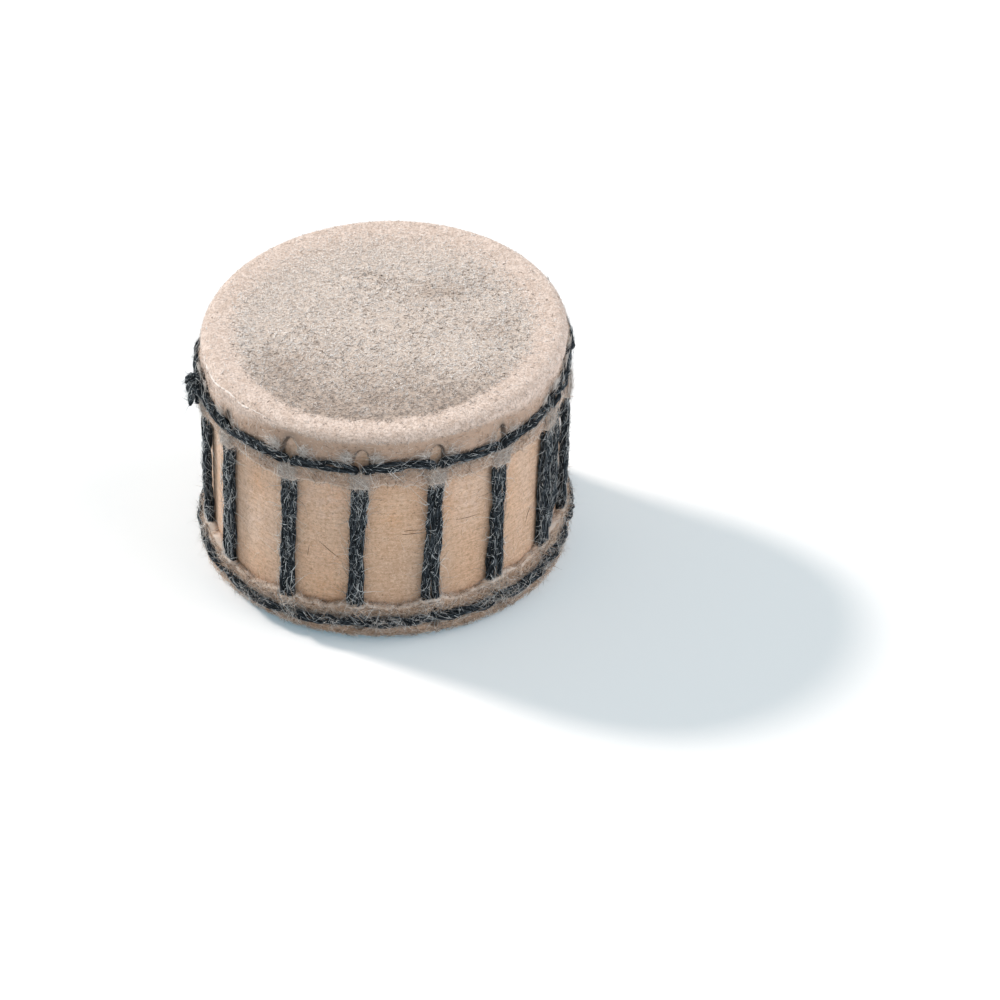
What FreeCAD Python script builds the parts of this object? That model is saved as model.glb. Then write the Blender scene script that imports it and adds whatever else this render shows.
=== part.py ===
import FreeCAD, Part

import math
import os

# A small rattle drum. A short bamboo tube is closed at both ends by hide heads, and one
# yarn laces the two hides together round the tube. Loose seeds rattle inside.
# Millimetres, +Z up. The origin is the middle of the flat face that the drum stands on.
# Angles are in degrees about Z. The front is the -Y side, and the knot is on the -X side.

# Bamboo tube
drum_height = 55.0
shell_radius = 37.4
shell_wall = 6.9
shell_top_chamfer = 1.2
shell_bottom_chamfer = 2.0

# Hides: each is a head over the tube's end, a rounded rim and a skirt down its side.
# The skirt is pinched where the ring cord lies.
hide_clearance = 0.05
head_thickness = 1.3
top_rim_thickness = 1.55
bottom_rim_thickness = 2.2
pinch_thickness = 1.1
margin_thickness = 1.3
top_rim_round = 2.5
bottom_rim_round = 4.2
top_skirt = 14.8
bottom_skirt = 10.4

# Lacing: the depths are measured from each head's face towards the middle of the drum.
station_count = 15
lace_twist = 2.7
front_angle = -90.0
first_station_angle = -80.9
cord_diameter = 1.6
strand_gap = 0.5
cord_clearance = 0.15
ring_clearance = 0.27
top_ring_depth = 10.1
bottom_ring_depth = 6.5
top_tab_depth = 15.5
bottom_tab_depth = 11.0
# Each station is this share of a step away from its even place, as punched by eye.
station_drift_shares = (0.18, -0.01, 0.10, 0.07, 0.05, -0.02, -0.04, -0.26,
                        -0.12, 0.03, -0.05, -0.08, 0.02, 0.06, 0.05)

# Openings for the lacing in each skirt
hole_reach = 3.7
hole_tip_half = 1.3
notch_reach = 3.4
hole_dip = 0.4
tab_wall = 0.6
tab_roof = 0.8
tab_lip = 0.5
tab_chamfer = 0.9
cut_overrun = 1.0

# Knot and its hanging tail
knot_half_width = 1.5
knot_half_height = 1.9
tail_length = 6.4
tail_radius = 0.7

# Seeds
seed_count = 18
seed_diameter = 5.7
seed_spread_share = 0.08
seed_clearance = 0.3

# Values worked out from the sizes above
bore_radius = shell_radius - shell_wall
skirt_bore = shell_radius + hide_clearance
pinch_radius = skirt_bore + pinch_thickness
margin_radius = skirt_bore + margin_thickness
cord_radius = cord_diameter / 2
strand_pitch = cord_diameter + strand_gap
strand_radius = shell_radius + cord_clearance + cord_radius
ring_radius = pinch_radius + ring_clearance + cord_radius
ring_out = ring_radius - strand_radius
tunnel_half = strand_pitch / 2 + cord_radius + cord_clearance
tunnel_roof = strand_radius + cord_radius + cord_clearance
top_ring_z = drum_height - top_ring_depth
bottom_ring_z = bottom_ring_depth
station_step = 360 / station_count

# Routes of the two strands of a station where they cross in the bottom hole, as shares of
# the strand pitch: across to the right, out from the tube, and up from the bottom ring.
over_route_shares = ((-0.50, 0.00, 1.15), (-0.50, 0.17, 0.80), (-0.39, 0.60, 0.50),
                     (-0.06, 0.97, 0.25), (0.49, 1.09, 0.09), (1.17, 0.89, 0.02))
under_route_shares = ((0.50, 0.00, 0.68), (0.47, 0.00, 0.16), (0.16, 0.00, -0.28),
                      (-0.39, 0.02, -0.43), (-0.98, 0.23, -0.32), (-1.61, 0.50, -0.11))
over_end_share = 1.80
under_end_share = -2.10
# The two ends at the knot, in the same shares but up from the top ring.
knot_start_shares = ((1.10, 1.22, 0.18), (1.36, 0.92, 0.05))
knot_end_shares = ((0.50, 0.00, -0.66), (0.49, 0.11, -0.25), (0.41, 0.46, 0.05))
knot_place_shares = (0.30, 1.40, 0.33)

# Outlines of the turned pieces, as (height, girth) shares: a seed's from its foot up, and the
# knot's and its tail's from the top down
seed_outline_shares = ((0.00, 0.40), (0.26, 0.94), (0.70, 0.92), (1.00, 0.34))
knot_outline_shares = ((1.00, 0.35), (0.66, 0.86), (0.25, 0.98), (-0.15, 0.80),
                       (-0.50, 0.95), (-0.85, 0.72), (-1.05, 0.45))
tail_outline_shares = ((-0.15, 1.00), (-0.75, 0.90), (-1.00, 1.15))
knot_lobe_share = 0.16
knot_lobes = 3
knot_turn = 40.0
golden_turn = 180 * (3 - math.sqrt(5))

# How finely the curved pieces are divided
knot_sides = 9
seed_sides = 8
cord_sides = 6
ring_steps = 2
turn_steps = 2
rim_steps = 3


def polar(radius, angle, z):
    turn = math.radians(angle)
    return FreeCAD.Vector(radius * math.cos(turn), radius * math.sin(turn), z)


def solid_from_rings(rings, flat_sides=True):
    """Closed solid with one side per pair of neighbouring rings and a flat cap at each end.

    Where the rings twist, flat_sides is false and each side is two triangles.
    """
    faces = []
    count = len(rings[0])
    for low, high in zip(rings, rings[1:]):
        for i in range(count):
            a, b = low[i], low[(i + 1) % count]
            c, d = high[(i + 1) % count], high[i]
            outlines = [(a, b, c, d)] if flat_sides else [(a, b, c), (a, c, d)]
            faces += [Part.Face(Part.makePolygon(list(line) + [line[0]])) for line in outlines]
    for ring in (rings[0], rings[-1]):
        faces.append(Part.Face(Part.makePolygon(list(ring) + [ring[0]])))
    shell = Part.makeShell(faces)
    shell.sewShape()
    solid = Part.makeSolid(shell)
    if solid.Volume < 0:
        solid.reverse()
    return solid


def revolved(outline):
    """Solid of revolution about Z of a closed outline of (radius, z) points."""
    line = [FreeCAD.Vector(r, 0, z) for r, z in outline]
    face = Part.Face(Part.makePolygon(line + [line[0]]))
    return face.revolve(FreeCAD.Vector(0, 0, 0), FreeCAD.Vector(0, 0, 1), 360)


def rounded(edge_r, face_z, radius, inward):
    """Points of an outline's quarter-round corner, from its face to its side."""
    points = []
    for i in range(rim_steps + 1):
        turn = math.radians(90 * i / rim_steps)
        points.append((edge_r - radius + radius * math.sin(turn),
                       face_z + inward * (radius - radius * math.cos(turn))))
    return points


def make_shell():
    """The bamboo tube, with its outer edges taken off so that the hides turn over softly."""
    low = head_thickness + hide_clearance
    high = drum_height - low
    return revolved([(bore_radius, low), (shell_radius - shell_bottom_chamfer, low),
                     (shell_radius, low + shell_bottom_chamfer),
                     (shell_radius, high - shell_top_chamfer),
                     (shell_radius - shell_top_chamfer, high), (bore_radius, high)])


def station_angle(station, z):
    """Angle of a station at a height: the strands lean by lace_twist from ring to ring."""
    even = front_angle + first_station_angle + station_step * station
    drift = station_drift_shares[station % len(station_drift_shares)] * station_step
    fall = (top_ring_z - z) / (top_ring_z - bottom_ring_z)
    return even + drift - lace_twist * fall


def lace_lean():
    """Angle in degrees by which the strands lean from upright."""
    arc = strand_radius * math.radians(lace_twist)
    return math.degrees(math.atan2(arc, top_ring_z - bottom_ring_z))


def tab_solid(level, mouth, end):
    """Raised tongue of hide over a pair of strands, from the hole's mouth to its free end."""
    side = tunnel_half + tab_wall
    rings = []
    for depth, roof in ((mouth, tunnel_roof + tab_roof), (end, tunnel_roof + tab_lip)):
        outline = ((skirt_bore, -side), (roof - tab_chamfer, -side), (roof, tab_chamfer - side),
                   (roof, side - tab_chamfer), (roof - tab_chamfer, side), (skirt_bore, side))
        rings.append([FreeCAD.Vector(x, y, level(depth)) for x, y in outline])
    return solid_from_rings(rings)


def tunnel_cut(level, mouth, end):
    """Channel for a pair of strands between the tube and the tongue of hide."""
    bottom = min(level(mouth - cut_overrun), level(end + cut_overrun))
    top = max(level(mouth - cut_overrun), level(end + cut_overrun))
    corner = FreeCAD.Vector(shell_radius - cut_overrun, -tunnel_half, bottom)
    return Part.makeBox(tunnel_roof - corner.x, 2 * tunnel_half, top - bottom, corner)


def hole_cut(level, ring_depth, mouth):
    """Teardrop hole: wide at its mouth, where the strands dive in, and narrow at its tip."""
    inside = shell_radius - cut_overrun
    tip = ring_depth - hole_reach
    outline = ((-tunnel_half, mouth), (-tunnel_half, ring_depth),
               (-hole_tip_half, tip + hole_tip_half), (-hole_tip_half / 2, tip),
               (hole_tip_half / 2, tip), (hole_tip_half, tip + hole_tip_half),
               (tunnel_half, ring_depth), (tunnel_half, mouth))
    line = [FreeCAD.Vector(inside, across, level(depth)) for across, depth in outline]
    reach_out = tunnel_roof + tab_roof + cut_overrun - inside
    return Part.Face(Part.makePolygon(line + [line[0]])).extrude(FreeCAD.Vector(reach_out, 0, 0))


def notch_cut(level, near, far):
    """Wedge that the ring cord presses into the hide on both sides of a hole."""
    floor_half = strand_pitch / 2 + 2 * cord_clearance
    top_half = notch_reach + cord_radius / 2 + cord_clearance
    rise = pinch_radius - shell_radius
    slope = (top_half - floor_half) / rise
    low = shell_radius - cut_overrun
    high = pinch_radius + cut_overrun
    corners = [(low, -floor_half), (shell_radius, -floor_half),
               (high, -top_half - slope * cut_overrun), (high, top_half + slope * cut_overrun),
               (shell_radius, floor_half), (low, floor_half)]
    base = min(level(near), level(far))
    height = abs(level(near) - level(far))
    line = [FreeCAD.Vector(x, y, base) for x, y in corners]
    return Part.Face(Part.makePolygon(line + [line[0]])).extrude(FreeCAD.Vector(0, 0, height))


def turned(shape, angle, pivot_z):
    """Lean a shape made on the +X side with the lacing, and turn it to its angle."""
    shape.rotate(FreeCAD.Vector(0, 0, pivot_z), FreeCAD.Vector(1, 0, 0), -lace_lean())
    shape.rotate(FreeCAD.Vector(0, 0, 0), FreeCAD.Vector(0, 0, 1), angle)
    return shape


def hide_body(level, inward, rim, rim_round, chamfer, ring_depth, skirt):
    """Head, rim and skirt of a hide, before its holes and tongues are made."""
    rim_radius = skirt_bore + rim
    under = level(head_thickness)
    turn_in = level(head_thickness + chamfer)
    return revolved([(0, level(0))] + rounded(rim_radius, level(0), rim_round, inward)
                    + [(pinch_radius, level(ring_depth)), (margin_radius, level(skirt)),
                       (skirt_bore, level(skirt)), (skirt_bore, turn_in),
                       (skirt_bore - chamfer, under), (0, under)])


def make_hide(face_z, inward, rim, rim_round, chamfer, ring_depth, mouth, skirt, tab, crossing):
    """A hide with its tongues, tunnels, holes and notches, one set per lacing station."""
    def level(depth):
        return face_z + inward * depth

    body = hide_body(level, inward, rim, rim_round, chamfer + hide_clearance, ring_depth, skirt)
    ring_z = level(ring_depth)
    near = ring_depth - cord_radius - cord_clearance - crossing
    tabs, cuts = [], []
    for station in range(station_count):
        angle = station_angle(station, ring_z)
        tabs.append(turned(tab_solid(level, mouth, tab), angle, ring_z))
        for cut in (tunnel_cut(level, mouth, tab), hole_cut(level, ring_depth, mouth),
                    notch_cut(level, near, mouth)):
            cuts.append(turned(cut, angle, ring_z))
    return body.fuse(tabs).cut(cuts).removeSplitter().Solids[0]


def make_top_hide():
    mouth = top_ring_depth + hole_dip + cord_radius + cord_clearance
    return make_hide(drum_height, -1, top_rim_thickness, top_rim_round, shell_top_chamfer,
                     top_ring_depth, mouth, top_skirt, top_tab_depth, 0)


def make_bottom_hide():
    lowest = min(up for across, out, up in under_route_shares) * strand_pitch
    rise_start = over_route_shares[0][-1] * strand_pitch
    return make_hide(0, 1, bottom_rim_thickness, bottom_rim_round, shell_bottom_chamfer,
                     bottom_ring_depth, bottom_ring_depth + rise_start, bottom_skirt,
                     bottom_tab_depth, -lowest)


def strand_point(station, across, out, z):
    """Point near a station: across to the right, and out from the strands' own radius."""
    radius = strand_radius + out
    return polar(radius, station_angle(station, z) + math.degrees(across / radius), z)


def shared_points(station, shares, ring_z):
    """Route points given as shares of the strand pitch."""
    return [strand_point(station, across * strand_pitch, out * strand_pitch,
                         ring_z + up * strand_pitch) for across, out, up in shares]


def dive(station, side):
    """Strand from the top ring into its hole, ending upright at the tunnel's mouth."""
    start = strand_point(station, side * notch_reach, ring_out, top_ring_z)
    corner_z = top_ring_z - hole_dip
    drop = cord_radius + cord_clearance
    corner = strand_point(station, side * strand_pitch / 2, 0, corner_z)
    end = strand_point(station, side * strand_pitch / 2, 0, corner_z - drop)
    entry = corner + (start - corner).normalize() * drop
    points = [start]
    for i in range(turn_steps + 1):
        u = i / turn_steps
        points.append(entry * (1 - u) ** 2 + corner * (2 * u * (1 - u)) + end * u ** 2)
    return points


def over_strand(station):
    """Left strand: down from the top ring, then over its partner to the right."""
    end = strand_point(station, over_end_share * strand_pitch, ring_out, bottom_ring_z)
    return dive(station, -1) + shared_points(station, over_route_shares, bottom_ring_z) + [end]


def under_strand(station):
    """Right strand from the bottom ring on the left: under its partner, then up."""
    end = strand_point(station, under_end_share * strand_pitch, ring_out, bottom_ring_z)
    down = dive(station, 1) + shared_points(station, under_route_shares, bottom_ring_z) + [end]
    return down[::-1]


def ring_between(start, end):
    """Points of a ring cord on its circle between two ends, without the ends."""
    first = math.degrees(math.atan2(start.y, start.x))
    sweep = (math.degrees(math.atan2(end.y, end.x)) - first) % 360
    return [polar(ring_radius, first + sweep * i / ring_steps, start.z)
            for i in range(1, ring_steps)]


def lace_route():
    """The whole yarn: from the knot twice round the drum as a square wave, and back.

    The station count is odd, so the second time round fills the gaps of the first.
    """
    route = shared_points(0, knot_start_shares, top_ring_z)
    route.append(strand_point(0, notch_reach, ring_out, top_ring_z))
    for leg in range(1, 2 * station_count):
        station = leg % station_count
        strand = over_strand(station) if leg % 2 else under_strand(station)
        route += ring_between(route[-1], strand[0]) + strand
    last = under_strand(0)
    keep = len(under_route_shares) + 1
    route += ring_between(route[-1], last[0]) + last[:keep]
    return route + shared_points(0, knot_end_shares, top_ring_z)


def tube(points, radius, sides):
    """Many-sided tube along a chain of points, mitred at each and square at its ends."""
    runs = [(b - a).normalize() for a, b in zip(points, points[1:])]
    side = runs[0].cross(FreeCAD.Vector(0, 0, 1)).normalize()
    other = runs[0].cross(side)
    ring = [points[0] + side * (radius * math.cos(math.tau * i / sides))
            + other * (radius * math.sin(math.tau * i / sides)) for i in range(sides)]
    rings = [ring]
    for i, run in enumerate(runs):
        following = runs[i + 1] if i + 1 < len(runs) else run
        normal = run + following
        centre = points[i + 1]
        ring = [p + run * ((centre - p).dot(normal) / run.dot(normal)) for p in ring]
        rings.append(ring)
    return solid_from_rings(rings)


def make_lace(route):
    """The yarn as an even tube whose section has the area of the round cord."""
    corner = math.tau / cord_sides
    corner_radius = cord_radius * math.sqrt(corner / math.sin(corner))
    return tube(route, corner_radius, cord_sides)


def make_knot():
    """Tight overhand knot outside the first hole, and the tail that hangs from it."""
    across, out, up = [share * strand_pitch for share in knot_place_shares]
    centre = strand_point(0, across, out, top_ring_z + up)
    outward = FreeCAD.Vector(centre.x, centre.y, 0).normalize()
    along = FreeCAD.Vector(-outward.y, outward.x, 0)

    def ring(height, girth, lobe, turn):
        points = []
        for i in range(knot_sides):
            angle = math.tau * i / knot_sides
            size = girth * (1 + lobe * math.cos(knot_lobes * angle + turn))
            place = outward * (size * math.cos(angle)) + along * (size * math.sin(angle))
            points.append(centre + place + FreeCAD.Vector(0, 0, height))
        return points

    rings = []
    for i, (height, girth) in enumerate(knot_outline_shares):
        rings.append(ring(height * knot_half_height, girth * knot_half_width,
                          knot_lobe_share, math.radians(knot_turn * i)))
    neck = knot_outline_shares[-1][0] * knot_half_height
    last_turn = math.radians(knot_turn * len(knot_outline_shares))
    for height, girth in tail_outline_shares:
        rings.append(ring(neck + height * tail_length, girth * tail_radius, 0, last_turn))
    return solid_from_rings(rings, flat_sides=False)


def seed_place(index):
    """Middle of a seed's footprint, on an even spiral over the floor of the chamber."""
    reach = bore_radius - seed_diameter * (1 + seed_spread_share) / 2 - 2 * seed_clearance
    return polar(reach * math.sqrt((index + 0.5) / seed_count), golden_turn * index, 0)


def make_seed(index):
    """Roundish hard seed that rests a little above the lower hide."""
    spread = seed_spread_share * math.sin(math.radians(golden_turn * index))
    girth = seed_diameter * (1 + spread) / 2
    height = seed_diameter * (1 - spread)
    floor = head_thickness + seed_clearance
    centre = seed_place(index)
    rings = []
    for up, size in seed_outline_shares:
        rings.append([centre + polar(girth * size, 360 * i / seed_sides, floor + up * height)
                      for i in range(seed_sides)])
    return solid_from_rings(rings)


def report_lace(route, lace):
    """Print the yarn's length, its volume against its section, and its least gap."""
    length = sum((b - a).Length for a, b in zip(route, route[1:]))
    section = math.pi * cord_radius ** 2
    samples = []
    walked = 0
    for a, b in zip(route, route[1:]):
        steps = max(1, round((b - a).Length / cord_radius))
        samples += [(a + (b - a) * (i / steps), walked + (b - a).Length * i / steps)
                    for i in range(steps)]
        walked += (b - a).Length
    least = length
    for i, (p, at) in enumerate(samples):
        for q, later in samples[i + 1:]:
            if later - at > 3 * strand_pitch and abs(p.z - q.z) < least:
                least = min(least, (p - q).Length)
    print(f"yarn length {length:.0f} mm, volume {lace.Volume:.0f} mm3,"
          f" section times length {section * length:.0f} mm3")
    print(f"least gap of the yarn to itself {least - cord_diameter:.2f} mm")


def save(shape, name):
    if len(shape.Solids) != 1 or not shape.isValid():
        print(f"{name}: {len(shape.Solids)} solids, valid {shape.isValid()}")
    shape.exportStep(f"parts/{name}.step")


os.makedirs("parts", exist_ok=True)
route = lace_route()
lace = make_lace(route)
report_lace(route, lace)
save(make_shell(), "bamboo_shell")
save(make_top_hide(), "top_hide")
save(make_bottom_hide(), "bottom_hide")
save(lace, "lacing_yarn")
save(make_knot(), "lacing_knot")
for index in range(seed_count):
    save(make_seed(index), f"rattle_seed_{index + 1:02d}")
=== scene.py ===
import math

import bpy
import numpy as np
from mathutils import Matrix, Vector


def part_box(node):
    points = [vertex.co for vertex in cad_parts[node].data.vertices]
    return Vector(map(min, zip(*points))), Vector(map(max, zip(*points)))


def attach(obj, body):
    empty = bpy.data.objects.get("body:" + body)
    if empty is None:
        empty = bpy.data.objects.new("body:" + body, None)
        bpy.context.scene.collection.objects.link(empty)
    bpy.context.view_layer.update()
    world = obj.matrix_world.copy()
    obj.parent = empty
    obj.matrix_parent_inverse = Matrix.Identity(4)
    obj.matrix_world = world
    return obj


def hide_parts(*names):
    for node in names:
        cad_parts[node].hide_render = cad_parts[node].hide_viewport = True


# A small laced rattle drum: bamboo tube, two hairy hides, one wool yarn and loose seeds.
# Lengths in this script are millimetres and angles degrees, until a mesh is made in metres.
# The drum stands on z = 0, its front is -Y and the knot is on its -X side.

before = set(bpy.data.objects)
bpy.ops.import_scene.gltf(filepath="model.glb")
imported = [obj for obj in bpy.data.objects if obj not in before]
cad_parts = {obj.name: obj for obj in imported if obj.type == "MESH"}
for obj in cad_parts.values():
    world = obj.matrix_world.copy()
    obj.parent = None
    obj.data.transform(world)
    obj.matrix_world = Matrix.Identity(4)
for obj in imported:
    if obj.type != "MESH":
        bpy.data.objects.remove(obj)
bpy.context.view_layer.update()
mm = 0.001

# The drum and its lacing
drum_height = 55.0
tube_radius = 37.7
bore_radius = 30.5
tube_end = 1.35
station_count = 15
station_step = 360 / station_count
first_station = -170.9
lace_twist = 2.7
station_drift = (0.18, -0.01, 0.10, 0.07, 0.05, -0.02, -0.04, -0.26,
                 -0.12, 0.03, -0.05, -0.08, 0.02, 0.06, 0.05)
top_ring_z = 44.9
bottom_ring_z = 6.5
top_ring_radius = 39.6
bottom_ring_radius = 40.1
strand_radius = 38.75
strand_pitch = 1.7
notch_reach = 3.4

# The tube was sawn a little out of square: it leans, and the head falls to the front. The
# lower hide sits a little to the right in front, and neither ring cord is level.
lean = 2.1
head_fall = 2.3
side_fall = 0.35
base_shift = 1.1


def smooth(x, low, high):
    """Smooth step from 0 at low to 1 at high."""
    t = np.clip((x - low) / (high - low), 0, 1)
    return t * t * (3 - 2 * t)


def settle(points):
    """Points of a square, upright drum moved to those of the real one."""
    points = np.array(points, float)
    x, y, z = points[..., 0].copy(), points[..., 1], points[..., 2].copy()
    up = np.clip(z / drum_height, 0, 1)
    over = np.clip((z - top_ring_z) / (drum_height - top_ring_z), 0, 1.1)
    near_top = smooth(z, 40.5, top_ring_z) * (1 - smooth(z, top_ring_z + 1, drum_height - 2))
    near_base = smooth(z, 2, bottom_ring_z) * (1 - smooth(z, 9, 16))
    front = smooth(-y, 0, 20)
    rise = near_top * (2.4 * smooth(y, -20, -2) + 1.6 * smooth(x, 26, 38)
                       + 0.7 * front * np.exp(-((x - 3) / 13) ** 2))
    rise = rise + near_base * (1.3 * smooth(y, -22, -6) - 0.9 * smooth(-y, 16, 32)
                               - 1.0 * smooth(-x, 10, 24) * smooth(-y, 4, 20))
    shift = base_shift * (1 - smooth(z, 6, 11)) * smooth(-y, 8, 26)
    points[..., 0] = x + lean * (up - 0.5) + shift
    points[..., 2] = z + rise + head_fall * y / 39 * over - side_fall * x / 39 * smooth(z, 14, 44)
    return points


# Tones of the head as (x, y, half width, half depth, share)
brown_patches = ((-6, 20, 5, 3, 0.35), (0, 16.5, 4, 3, 0.45), (12, 12, 8, 5, 0.5), (21, 20.5, 7, 5, 0.45),
                 (-19.5, -14, 6, 5, 0.4), (-25, -9, 5, 6, 0.3), (-8, -5, 8, 4, 0.25),
                 (6, 1, 7, 3, 0.25), (24, -3, 6, 7, 0.7))
pale_patches = ((16, -9, 8, 7, 0.55), (20, 4, 7, 4, 0.6), (-18, 22, 8, 5, 0.7), (-13, 10, 8, 5, 0.5),
                (2, 28, 14, 4, 0.6), (-4, -2, 6, 4, 0.4), (27, -4, 5, 8, 0.2), (-26, 6, 8, 9, 0.6))


def head_tone_and_shade(x, y):
    """Tone of the head from -1, pale, to 1, brown. Painted shade darkens it towards the front, and painted
    light pales it towards the back.
    """
    def total(patches):
        return sum(share * np.exp(-((x - at_x) / wide) ** 2 - ((y - at_y) / deep) ** 2)
                   for at_x, at_y, wide, deep, share in patches)
    # Painted shade towards the front and painted light towards the back
    slope = 0.80 * smooth(-y, 4, 34) - 0.80 * smooth(y, 8, 30)
    return np.clip(total(brown_patches) - total(pale_patches) + slope, -1, 1)


def ripple(turn, along, seed, turns, reach, count=9):
    """Smooth noise of about unit size over an angle in degrees and a length.

    turns is the most waves round the drum, and reach the shortest wave along.
    """
    rng = np.random.default_rng(seed)
    total = 0
    for _ in range(count):
        n = rng.integers(1, turns + 1)
        k = rng.uniform(-1, 1) * math.tau / reach
        total = total + np.cos(n * np.radians(turn) + k * along + rng.uniform(0, math.tau))
    return total / math.sqrt(count / 2)


def polar(radius, turn, z):
    turn = np.radians(turn)
    return np.stack(np.broadcast_arrays(radius * np.cos(turn), radius * np.sin(turn), z), -1)


def station_turn(station, z):
    """Angle of a lacing station at a height."""
    drift = np.array(station_drift)[station] * station_step
    fall = (top_ring_z - z) / (top_ring_z - bottom_ring_z)
    return first_station + station_step * station + drift - lace_twist * fall


def unit(v):
    return v / np.maximum(np.linalg.norm(v, axis=-1, keepdims=True), 1e-9)


def between(a, b, angle):
    """Vectors at an angle from a direction a towards a direction b."""
    return a * np.cos(angle)[:, None] + b * np.sin(angle)[:, None]


# Meshes

def piece(name, points, faces, material, body="drum", attributes=None, settled=True):
    """Object from points in millimetres, smooth shaded, that rides on a body."""
    mesh = bpy.data.meshes.new(name)
    points = (settle(points) if settled else np.asarray(points)) * mm
    count, corners = faces.shape
    mesh.vertices.add(len(points))
    mesh.vertices.foreach_set("co", points.astype(np.float32).ravel())
    mesh.loops.add(faces.size)
    mesh.loops.foreach_set("vertex_index", faces.astype(np.int32).ravel())
    mesh.polygons.add(count)
    mesh.polygons.foreach_set("loop_start", np.arange(0, faces.size, corners, dtype=np.int32))
    mesh.update(calc_edges=True)
    mesh.polygons.foreach_set("use_smooth", np.ones(count, bool))
    for key, values in (attributes or {}).items():
        stored = mesh.attributes.new(key, "FLOAT", "POINT")
        stored.data.foreach_set("value", np.asarray(values, np.float32).ravel())
    mesh.update()
    mesh.materials.append(material)
    made = bpy.data.objects.new(name, mesh)
    bpy.context.scene.collection.objects.link(made)
    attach(made, body)
    return made


def quads(rows, cols, flip=False):
    """Faces of a grid of rows that are closed rings of cols points."""
    i, j = np.meshgrid(np.arange(rows - 1), np.arange(cols), indexing="ij")
    a, b = i * cols + j, i * cols + (j + 1) % cols
    c, d = a + cols, b + cols
    order = (a, c, d, b) if flip else (a, b, d, c)
    return np.stack([x.ravel() for x in order], 1)


def spikes(name, base, tip, radius, material):
    """Short straight hairs, each a closed three-sided cone."""
    run = unit(tip - base)
    side = unit(np.cross(run, run[:, [1, 2, 0]] + (0.3, 0.1, 0.2)))
    other = np.cross(run, side)
    rings = [base + radius[:, None] * (side * math.cos(a) + other * math.sin(a))
             for a in (0, math.tau / 3, 2 * math.tau / 3)]
    points = np.stack(rings + [tip], 1).reshape(-1, 3)
    start = 4 * np.arange(len(base))[:, None]
    faces = np.concatenate([start + np.array(f) for f in
                            ((0, 1, 3), (1, 2, 3), (2, 0, 3), (0, 2, 1))])
    # Each hair takes the head's colour map at its root, painted shade included
    tone_and_shade = np.repeat(head_tone_and_shade(base[:, 0], base[:, 1]), 4)
    return piece(name, points, faces, material, attributes={"tone_and_shade": tone_and_shade})


def tubes(name, lines, radius, material, sides=3, attributes=None):
    """Closed tubes along lines (count, points, 3) with a radius at each point."""
    count, steps, _ = lines.shape
    run = unit(np.gradient(lines, axis=1))
    hint = unit(np.cross(run[:, :1], run[:, :1, [1, 2, 0]] + (0.3, 0.1, 0.2)))
    side = unit(hint - run * (hint * run).sum(-1, keepdims=True))
    other = np.cross(run, side)
    turn = math.tau * np.arange(sides) / sides
    ring = side[:, :, None] * np.cos(turn)[:, None] + other[:, :, None] * np.sin(turn)[:, None]
    points = (lines[:, :, None] + radius[:, :, None, None] * ring).reshape(-1, 3)
    p, s = np.meshgrid(np.arange(steps - 1), np.arange(sides), indexing="ij")
    a, b = (p * sides + s).ravel(), (p * sides + (s + 1) % sides).ravel()
    walls = np.concatenate([np.stack([a, b, b + sides], 1), np.stack([a, b + sides, a + sides], 1)])
    fan = np.array([(0, i + 1, i) for i in range(1, sides - 1)])
    last = (steps - 1) * sides + fan[:, ::-1]
    one = np.concatenate([walls, fan, last])
    faces = (one[None] + (steps * sides * np.arange(count))[:, None, None]).reshape(-1, 3)
    return piece(name, points, faces, material, attributes=attributes)


# Materials

def material(name, roughness=0.8, **sockets):
    """New material, its node tree and its shader, with constants on the shader's sockets."""
    made = bpy.data.materials.new(name)
    made.use_nodes = True
    tree = made.node_tree
    shader = tree.nodes["Principled BSDF"]
    shader.inputs["Roughness"].default_value = roughness
    for key, value in sockets.items():
        shader.inputs[key.replace("_", " ")].default_value = value
    return made, tree, shader


def node(tree, kind, inputs=(), **settings):
    made = tree.nodes.new(kind)
    for key, value in settings.items():
        setattr(made, key, value)
    for key, value in dict(inputs).items():
        if isinstance(value, bpy.types.NodeSocket):
            tree.links.new(value, made.inputs[key])
        else:
            made.inputs[key].default_value = value
    return made


def place(tree, scale, offset):
    """Object coordinates in millimetres, stretched by scale."""
    coordinates = node(tree, "ShaderNodeTexCoord").outputs["Object"]
    scaled = node(tree, "ShaderNodeVectorMath", {0: coordinates, 1: [s / mm for s in scale]},
                  operation="MULTIPLY").outputs[0]
    return node(tree, "ShaderNodeVectorMath", {0: scaled, 1: offset}, operation="ADD").outputs[0]


def noise(tree, where, detail, rough):
    return node(tree, "ShaderNodeTexNoise", {"Vector": where, "Scale": 1.0, "Detail": detail,
                                             "Roughness": rough}).outputs["Fac"]


def cloud(tree, size, scale=(1, 1, 1), offset=(0, 0, 0), detail=3.0, rough=0.55):
    """Noise from 0 to 1 with features of about size millimetres."""
    return noise(tree, place(tree, tuple(s / size for s in scale), offset), detail, rough)


def attribute(tree, name):
    return node(tree, "ShaderNodeAttribute", attribute_name=name).outputs["Fac"]


def ramp(tree, factor, *stops):
    """Colour ramp with stops of (place, (r, g, b))."""
    made = node(tree, "ShaderNodeValToRGB", {0: factor})
    elements = made.color_ramp.elements
    while len(elements) < len(stops):
        elements.new(0.5)
    for element, (at, colour) in zip(elements, stops):
        element.position = at
        element.color = (*colour, 1)
    return made.outputs[0]


def remap(tree, value, low, high, share=1.0):
    """Smooth rise of a value from 0 at low to a share at high."""
    inputs = {"Value": value, "From Min": low, "From Max": high, "To Max": share}
    return node(tree, "ShaderNodeMapRange", inputs,
                interpolation_type="SMOOTHSTEP").outputs["Result"]


def maths(tree, operation, a, b):
    return node(tree, "ShaderNodeMath", {0: a, 1: b}, operation=operation).outputs[0]


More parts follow.
